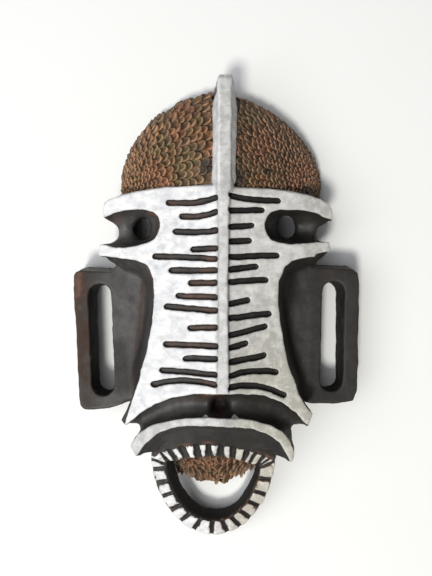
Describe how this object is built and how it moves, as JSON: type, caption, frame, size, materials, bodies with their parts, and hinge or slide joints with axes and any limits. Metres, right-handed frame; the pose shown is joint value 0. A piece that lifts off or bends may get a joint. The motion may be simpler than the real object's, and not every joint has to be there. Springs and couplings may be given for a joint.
{
  "type": "ceramic mask",
  "caption": "Hand-built ceramic wall mask with a scaled head shell, carved striped face, slotted ear slabs and a toothed muzzle ring, lying on its open back.",
  "frame": {"origin": "middle of the footprint of the mask as it lies on its open back, on the ground", "axes": "+Y from the muzzle to the crown, +Z out of the face, +X toward the ear that is on the right in the picture"},
  "size_m": [0.2672, 0.4278, 0.1106],
  "materials": {
    "fired_clay": "matte white slip brushed over smoked dark clay"
  },
  "bodies": {
    "root": {"mask": "fired_clay"}
  },
  "joints": []
}
